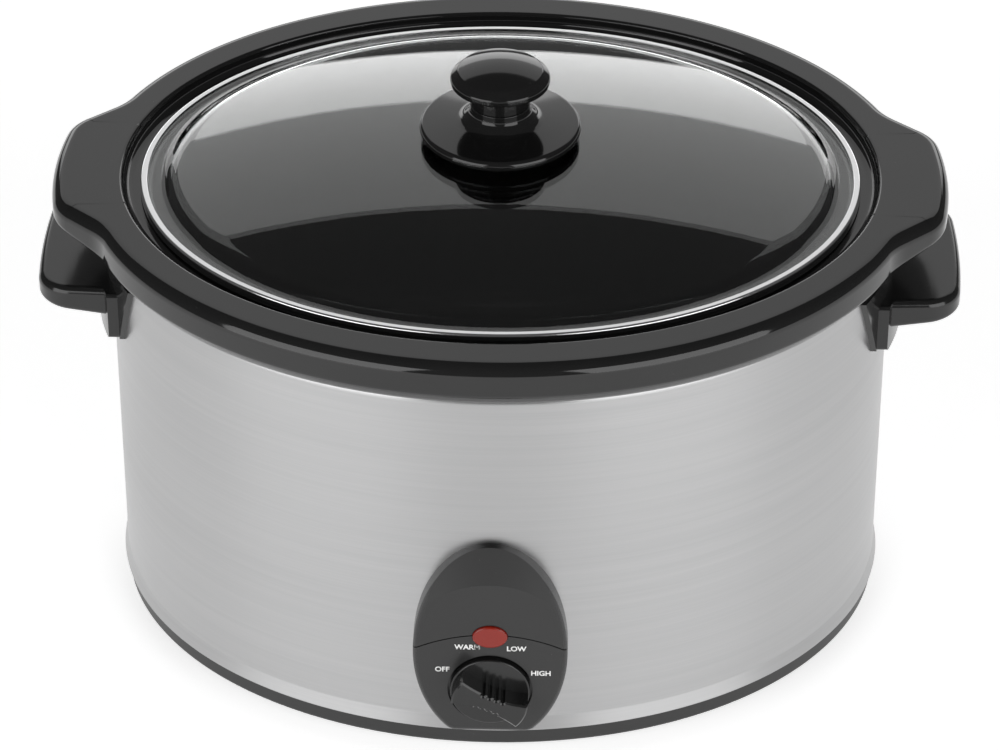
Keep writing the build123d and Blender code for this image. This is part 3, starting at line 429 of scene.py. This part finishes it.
def makeShell(look):
    low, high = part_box("outer_shell")
    flare = (high.x - low.x) / 2 - halfLength
    wall = look["wall"]
    mouth = -look["roll"] - look["lip"]
    flareTop = low.z + look["flareHeight"]
    profile = rounded([
        (mouth, high.z, look["hem"]),
        (0, high.z, look["roll"]),
        (0, flareTop, 3 * mm),
        (flare, low.z, look["hem"]),
        (flare - wall, low.z, look["hem"]),
        (-wall, flareTop, 3 * mm),
        (-wall, high.z - wall, look["roll"] - wall),
        (mouth, high.z - wall, look["hem"]),
    ], closed=True, steps=8)
    mesh = ringMesh("steelShell", ovalRings(profile), loop=True)
    return addPiece("steelShell", mesh, shellSteel, "housing", "steel_shell", "outer_shell")


makeShell(shellLook)
print("shell made")


# ---- crock: bowl, lid recess and a rim with two ears

crockLook = {
    "bulgeShare": 0.72,
    "earHalfWidth": 34 * mm,
    "earBulge": 3.5 * mm,
    "earCorner": 20 * mm,
    "rootX": 160 * mm,
    "rootY": 59 * mm,
    "rootRadius": 30 * mm,
    "rimHeight": 20 * mm,
    "shoulder": 5.5 * mm,
    "underAngle": 18.0,
    "flatShare": 0.72,
    "seatOffset": 4.5 * mm,
    "chamferIn": 4.6 * mm,
    "chamferRise": 4.2 * mm,
    "chamferRound": 0.9 * mm,
    "recessOffset": -6.2 * mm,
    "recessDepth": 7 * mm,
    "recessSqueeze": 3 * mm,
    "recessEdge": 1.5 * mm,
    "recessCove": 5 * mm,
    "bowlOffset": -19.5 * mm,
    "bowlFootOffset": -29.5 * mm,
    "bowlFloor": 9 * mm,
    "bowlCorner": 30 * mm,
    "bodyOffset": -13.5 * mm,
    "bodyFootOffset": -23.5 * mm,
    "bodyCorner": 16 * mm,
}


def rimOutline(look, reach, rimLength, rimDepth):
    # a quarter of the rim seen from above, from the tip of an ear to the back, then its mirrors
    halfWidth = look["earHalfWidth"]
    bulgeRadius = capRadius(halfWidth, look["earBulge"])
    corners = []
    for step in range(8):
        y = halfWidth * look["bulgeShare"] * step / 7
        corners.append((reach - bulgeRadius + math.sqrt(bulgeRadius ** 2 - y * y), y, 0))
    tip = Vector((reach - look["earBulge"], halfWidth))
    root = Vector((look["rootX"], look["rootY"]))
    # the ear's straight edge ends where it meets the oval, found by halving
    inside, outside = 1.0, 0.0
    for _ in range(40):
        share = (inside + outside) / 2
        p = tip.lerp(root, share)
        if (p.x / rimLength) ** 2 + (p.y / rimDepth) ** 2 < 1:
            inside = share
        else:
            outside = share
    meet = tip.lerp(root, inside)
    corners.append((*tip, look["earCorner"]))
    corners.extend((*tip.lerp(meet, share), 0) for share in (0.25, 0.5, 0.75))
    corners.append((*meet, look["rootRadius"]))
    first = math.atan2(meet.y / rimDepth, meet.x / rimLength)
    backSteps = 49
    for step in range(2, backSteps + 1):
        t = first + (math.pi / 2 - first) * step / backSteps
        corners.append((rimLength * math.cos(t), rimDepth * math.sin(t), 0))
    quarter = rounded(corners, steps=8)
    half = quarter + [Vector((-p.x, p.y)) for p in reversed(quarter[:-1])]
    return half + [Vector((p.x, -p.y)) for p in reversed(half[1:-1])]


def makeCrock(look):
    low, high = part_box("crock")
    reach = (high.x - low.x) / 2
    rimDepth = (high.y - low.y) / 2
    rimLength = halfLength + rimDepth - halfDepth
    outline = rimOutline(look, reach, rimLength, rimDepth)
    count = len(outline)
    angles = [math.atan2(p.y / rimDepth, p.x / rimLength) for p in outline]
    outward = []
    for i in range(count):
        along = outline[(i + 1) % count] - outline[i - 1]
        outward.append(Vector((along.y, -along.x)).normalized())
    seat = high.z - look["rimHeight"]
    slope = math.tan(math.radians(look["underAngle"]))

    def underside(p):
        # how far an oval has to grow from the housing's to pass through a point
        near, far = -0.1 * halfDepth, halfDepth
        for _ in range(40):
            grown = (near + far) / 2
            if (p.x / (halfLength + grown)) ** 2 + (p.y / (halfDepth + grown)) ** 2 > 1:
                near = grown
            else:
                far = grown
        return seat + (near - look["seatOffset"]) * slope

    def rimRing(inset, drop=None, lift=None):
        ring = []
        for p, n in zip(outline, outward):
            q = p - n * inset
            z = high.z - drop if drop is not None else underside(q) + lift
            ring.append(Vector((middle.x + q.x, middle.y + q.y, z)))
        return ring

    def ovals(corners, squeeze=0.0):
        return ovalRings(rounded(corners, steps=8), squeeze, angles)

    recessFloor = high.z - look["recessDepth"]
    floor = low.z + look["bowlFloor"]
    squeeze = look["recessSqueeze"]
    edge = look["recessEdge"]
    middleOffset = -halfDepth * look["flatShare"]
    rings = ovals([
        (middleOffset, floor, 0),
        (look["bowlFootOffset"], floor, look["bowlCorner"]),
        (look["bowlOffset"], recessFloor, 2 * mm),
        (look["recessOffset"], recessFloor, look["recessCove"]),
        (look["recessOffset"], high.z, edge),
        (look["recessOffset"] + 2 * edge, high.z, 0),
    ], squeeze)
    rings = list(reversed(towardsPole(rings[0], floor))) + rings
    shoulder = look["shoulder"]
    rings.append(rimRing(shoulder * 1.25, drop=0))
    for step in range(11):
        a = math.pi / 2 * step / 10
        rings.append(rimRing(shoulder * (1 - math.sin(a)), drop=shoulder * (1 - math.cos(a))))
    # below the wall a softened edge, then a chamfer in to the underside
    wallFoot = look["chamferRise"]
    soft = look["chamferRound"]
    for inset, lift in ((0, 1.4), (0.06, 0.55), (0.25, 0), (0.6, -0.5), (1.2, -1.1)):
        rings.append(rimRing(inset * soft, lift=wallFoot + lift * soft))
    for share in (0.4, 0.7, 1.0):
        rings.append(rimRing(share * look["chamferIn"], lift=(1 - share) * wallFoot))
    rings += ovals([
        (look["seatOffset"] - 1 * mm, seat, 0),
        (look["bodyOffset"], seat, 1.5 * mm),
        (look["bodyFootOffset"], low.z, look["bodyCorner"]),
        (middleOffset, low.z, 0),
    ])
    rings += towardsPole(rings[-1], low.z)
    mesh = ringMesh("glazedCrock", rings)
    return addPiece("glazedCrock", mesh, crockGlaze, "crock", "crock_glaze", "crock")


makeCrock(crockLook)
print("crock made")


# ---- lid: domed glass, its steel edge band, heat guard and knob

lidLook = {
    "thickness": 3.6 * mm,
    "flat": 4.5 * mm,
    "bendWidth": 10 * mm,
    "bendRise": 4.5 * mm,
    "edgeRound": 1.2 * mm,
    "bandSheet": 0.6 * mm,
    "bandWidth": 3 * mm,
    "bandSqueeze": 3 * mm,
}


def makeLidGlass(look):
    low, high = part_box("lid_glass")
    centre = (low + high) / 2
    reach = (high.y - low.y) / 2
    stretch = (high.x - low.x) / 2 / reach
    edgeTop = low.z + look["thickness"]
    bendOut = reach - look["flat"]
    bendIn = bendOut - look["bendWidth"]
    bendTop = edgeTop + look["bendRise"]
    rise = high.z - bendTop
    domeRadius = capRadius(bendIn, rise)
    slope = bendIn / domeRadius
    top = [Vector((0, high.z))]
    for step in range(1, 29):
        r = bendIn * step / 28
        top.append(Vector((r, high.z - domeRadius + math.sqrt(domeRadius ** 2 - r * r))))
    pull = look["bendWidth"] / 2
    # the bend from the dome to the flat edge is one smooth curve with four handles
    for step in range(1, 15):
        t = step / 14
        weights = ((1 - t) ** 3, 3 * t * (1 - t) ** 2, 3 * t * t * (1 - t), t ** 3)
        heights = (bendTop, bendTop - pull * slope, edgeTop, edgeTop)
        places = (bendIn, bendIn + pull, bendOut - pull, bendOut)
        across = sum(w * p for w, p in zip(weights, places))
        height = sum(w * h for w, h in zip(weights, heights))
        top.append(Vector((across, height)))
    under = [Vector((p.x, p.y - look["thickness"])) for p in reversed(top)]
    edge = rounded([
        (bendOut, edgeTop, 0),
        (reach, edgeTop, look["edgeRound"]),
        (reach, low.z, look["edgeRound"]),
        (bendOut, low.z, 0),
    ])
    profile = top[1:] + edge[1:-1] + under[:-1]
    rings = latheRings(profile, centre, stretch, 256)
    poleTop = [Vector((centre.x, centre.y, high.z))]
    poleUnder = [Vector((centre.x, centre.y, high.z - look["thickness"]))]
    mesh = ringMesh("domedGlass", [poleTop] + rings + [poleUnder])
    return addPiece("domedGlass", mesh, lidGlass, "lid", "lid_glass", "lid_glass")


def makeLidBand(look):
    low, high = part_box("lid_band")
    outer = (high.x - low.x) / 2 - halfLength
    inner = outer - look["bandWidth"]
    sheet = look["bandSheet"]
    profile = rounded([
        (outer, low.z, 0.9 * mm),
        (outer, high.z, 1.1 * mm),
        (inner, high.z, 0.25 * mm),
        (inner, high.z - sheet, 0.2 * mm),
        (outer - sheet, high.z - sheet, 0.3 * mm),
        (outer - sheet, low.z + sheet, 0.3 * mm),
        (inner, low.z + sheet, 0.2 * mm),
        (inner, low.z, 0.25 * mm),
    ], closed=True)
    mesh = ringMesh("edgeBand", ovalRings(profile, look["bandSqueeze"]), loop=True)
    return addPiece("edgeBand", mesh, bandSteel, "lid", "steel_trim", "lid_band")


knobLook = {
    "bore": 2.7 * mm,
    "edge": 4.4 * mm,
    "coneRise": 2.0 * mm,
    "edgeRound": 2.1 * mm,
    "neck": 12.8 * mm,
    "sweep": 4.0 * mm,
    "stem": 12.4 * mm,
    "capEdge": 3.4 * mm,
    "bevel": 3.2 * mm,
    "capDome": 3.4 * mm,
    "seam": 0.35 * mm,
}


def makeKnob(look):
    low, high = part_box("knob_flange")
    centre = (low + high) / 2
    reach = (high.x - low.x) / 2
    edgeTop = low.z + look["edge"]
    neck = look["neck"]
    neckFoot = edgeTop + look["coneRise"]
    profile = rounded([
        (look["bore"], low.z, 0),
        (reach, low.z, look["edgeRound"]),
        (reach, edgeTop, look["edgeRound"]),
        (neck + look["sweep"], neckFoot, 6 * mm),
        (neck, neckFoot + look["sweep"], 3 * mm),
        (neck, high.z, look["seam"]),
        (look["bore"], high.z, 0),
    ], steps=7)
    mesh = ringMesh("knobGuard", latheRings(profile, centre), loop=True)
    addPiece("knobGuard", mesh, knobPlastic, "lid", "knob_plastic", "knob_flange")

    low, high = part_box("knob_cap")
    reach = (high.x - low.x) / 2
    dome = look["capDome"]
    bevelReach = reach - look["bevel"]
    domeRadius = capRadius(bevelReach, dome)
    bevelTop = high.z - dome
    edgeTop = bevelTop - look["bevel"]
    capBottom = edgeTop - look["capEdge"]
    domeArc = []
    for step in range(13):
        r = bevelReach * (0.9 - 0.9 * step / 12)
        domeArc.append((r, high.z - domeRadius + math.sqrt(domeRadius ** 2 - r * r), 0))
    profile = rounded([
        (2 * mm, low.z, 0),
        (look["stem"], low.z, look["seam"]),
        (look["stem"], capBottom, 0.8 * mm),
        (reach, capBottom, 1.7 * mm),
        (reach, edgeTop, 1.5 * mm),
        (bevelReach, bevelTop, 2.0 * mm),
        *domeArc[:-1],
    ], steps=7)
    poleUnder = [Vector((centre.x, centre.y, low.z))]
    poleTop = [Vector((centre.x, centre.y, high.z))]
    mesh = ringMesh("knobCap", [poleUnder] + latheRings(profile, centre) + [poleTop])
    addPiece("knobCap", mesh, knobPlastic, "lid", "knob_plastic", "knob_cap")


makeLidGlass(lidLook)
makeLidBand(lidLook)
makeKnob(knobLook)
print("lid made")


# ---- dial legends, raised a little from the panel

# each word's angle round the dial and its distance in millimetres from the dial's middle
legendLook = {
    "height": 3.5 * mm,
    "raise": 0.08 * mm,
    "bold": 0.09 * mm,
    "words": {"OFF": (153, 22.6), "WARM": (113, 24.2), "LOW": (63, 24.4), "HIGH": (22.5, 23.2)},
}


def makeLegends(look):
    dialLow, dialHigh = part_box("dial")
    dialCentre = (dialLow + dialHigh) / 2
    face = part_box("control_bezel")[0].y
    for word, (angle, distance) in look["words"].items():
        curve = bpy.data.curves.new("text" + word, "FONT")
        curve.body = word
        curve.size = look["height"]
        curve.extrude = look["raise"]
        curve.offset = look["bold"]
        curve.align_x = "CENTER"
        curve.align_y = "CENTER"
        curve.resolution_u = 8
        text = bpy.data.objects.new("text" + word, curve)
        bpy.context.scene.collection.objects.link(text)
        bpy.context.view_layer.update()
        shaped = text.evaluated_get(bpy.context.evaluated_depsgraph_get())
        mesh = bpy.data.meshes.new_from_object(shaped)
        bpy.data.objects.remove(text)
        reach = distance * mm
        x = dialCentre.x + reach * math.cos(math.radians(angle))
        z = dialCentre.z + reach * math.sin(math.radians(angle))
        upright = Matrix.Rotation(math.pi / 2, 4, "X")
        mesh.transform(Matrix.Translation((x, face, z)) @ upright)
        piece = addPiece("legend" + word.title(), mesh, legendPaint, "housing", "panel_plastic")
        for polygon in piece.data.polygons:
            polygon.use_smooth = False


makeLegends(legendLook)
print("legends made")


# ---- floor, lights and camera

stageLook = {
    "floorHalf": 6.0,
    "floorGap": 0.2 * mm,
    "floorGlow": 0.64,
    "worldStrength": 0.10,
    "aim": (0, 0, 0.12),
    "panels": {
        "softboxLeft": {"at": (-1.33, -1.5, 0.78), "size": (1.75, 1.5), "power": 21.0},
        "softboxRight": {"at": (1.33, -1.5, 0.78), "size": (1.75, 1.5), "power": 21.0},
        "backPanel": {"at": (0, 2.6, 1.5), "size": (3.3, 2.3), "power": 19.0},
        "horizonPanel": {"at": (0, 3.0, 0.95), "size": (4.0, 0.9), "power": 15.0},
    },
}


def makeFloor(look):
    bm = bmesh.new()
    bmesh.ops.create_grid(bm, x_segments=12, y_segments=12, size=look["floorHalf"])
    mesh = bpy.data.meshes.new("studioFloor")
    bm.to_mesh(mesh)
    bm.free()
    floor = bpy.data.objects.new("studioFloor", mesh)
    floor.location.z = cadLow.z - look["floorGap"]
    bpy.context.scene.collection.objects.link(floor)
    mesh.materials.append(mouldedMaterial(
        "paperWhite", grey(0.86), grey(0.88), (0.6, 0.7), 0.0, 0.0, dust=0.0,
        Emission_Color=(1, 1, 1, 1), Emission_Strength=look["floorGlow"],
    ))


def makeStudio(look):
    aim = Vector(look["aim"])
    for name, panel in look["panels"].items():
        light = bpy.data.lights.new(name, "AREA")
        light.shape = "RECTANGLE"
        light.size, light.size_y = panel["size"]
        light.energy = panel["power"]
        lamp = bpy.data.objects.new(name, light)
        lamp.location = panel["at"]
        lamp.rotation_euler = (aim - Vector(panel["at"])).to_track_quat("-Z", "Y").to_euler()
        bpy.context.scene.collection.objects.link(lamp)
    world = bpy.data.worlds.new("studioWorld")
    world.use_nodes = True
    sky = world.node_tree.nodes["Background"]
    sky.inputs["Color"].default_value = (1, 1, 1, 1)
    sky.inputs["Strength"].default_value = look["worldStrength"]
    bpy.context.scene.world = world
    bpy.context.scene.view_settings.view_transform = "Standard"


cameraLook = {
    "lens": 156.6,
    "elevation": 34.8,
    "turn": 1.66,
    "distance": 1.927,
    "aimHeight": 98.2 * mm,
    "shift": -0.0003,
}


def makeCamera(look):
    camera = bpy.data.cameras.new("camera")
    camera.sensor_width = 36.0
    camera.lens = look["lens"]
    camera.shift_x = look["shift"]
    turn = math.radians(look["turn"])
    rise = math.radians(look["elevation"])
    level = math.cos(rise)
    back = Vector((math.sin(turn) * level, -math.cos(turn) * level, math.sin(rise)))
    holder = bpy.data.objects.new("camera", camera)
    holder.location = Vector((middle.x, middle.y, look["aimHeight"])) + back * look["distance"]
    holder.rotation_euler = (-back).to_track_quat("-Z", "Y").to_euler()
    bpy.context.scene.collection.objects.link(holder)
    bpy.context.scene.camera = holder


makeFloor(stageLook)
makeStudio(stageLook)
makeCamera(cameraLook)
print("studio made")
